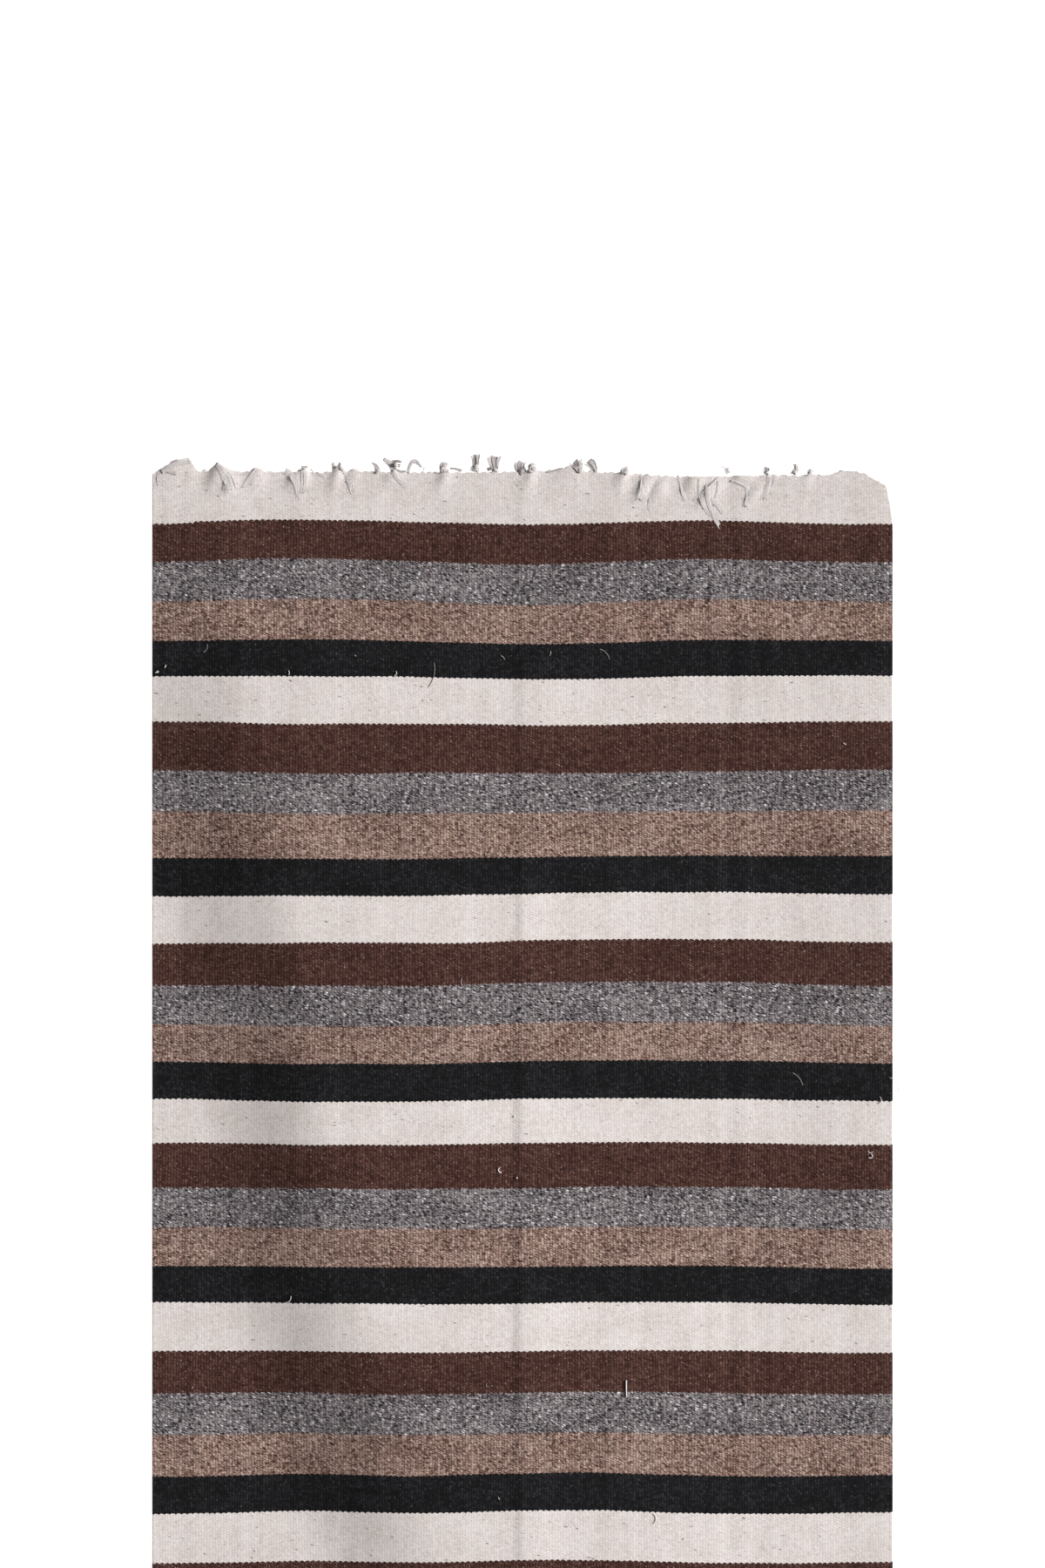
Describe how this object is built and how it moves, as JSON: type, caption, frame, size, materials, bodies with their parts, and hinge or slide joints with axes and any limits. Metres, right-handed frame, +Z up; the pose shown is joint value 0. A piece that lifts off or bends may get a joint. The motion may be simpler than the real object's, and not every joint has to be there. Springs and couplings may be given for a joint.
{
  "type": "kilim runner",
  "caption": "Long narrow flatwoven rug with crosswise colour bands, plain side edges and short knotted warp ends at both ends, laid flat to cover a floor.",
  "frame": {"origin": "centre of the runner's footprint, on the floor it lies on", "axes": "+Y along the length towards the head end, +X across the width, +Z up from the floor"},
  "size_m": [0.8, 2.5507, 0.017],
  "materials": {
    "wool_cloth": "matt weft-faced wool weave in bands of cream, dark brown, grey, tan and black",
    "warp_yarn": "matt undyed twisted yarn"
  },
  "bodies": {
    "root": {"runner_cloth": "wool_cloth", "fringe_head": "warp_yarn", "fringe_foot": "warp_yarn"}
  },
  "joints": []
}
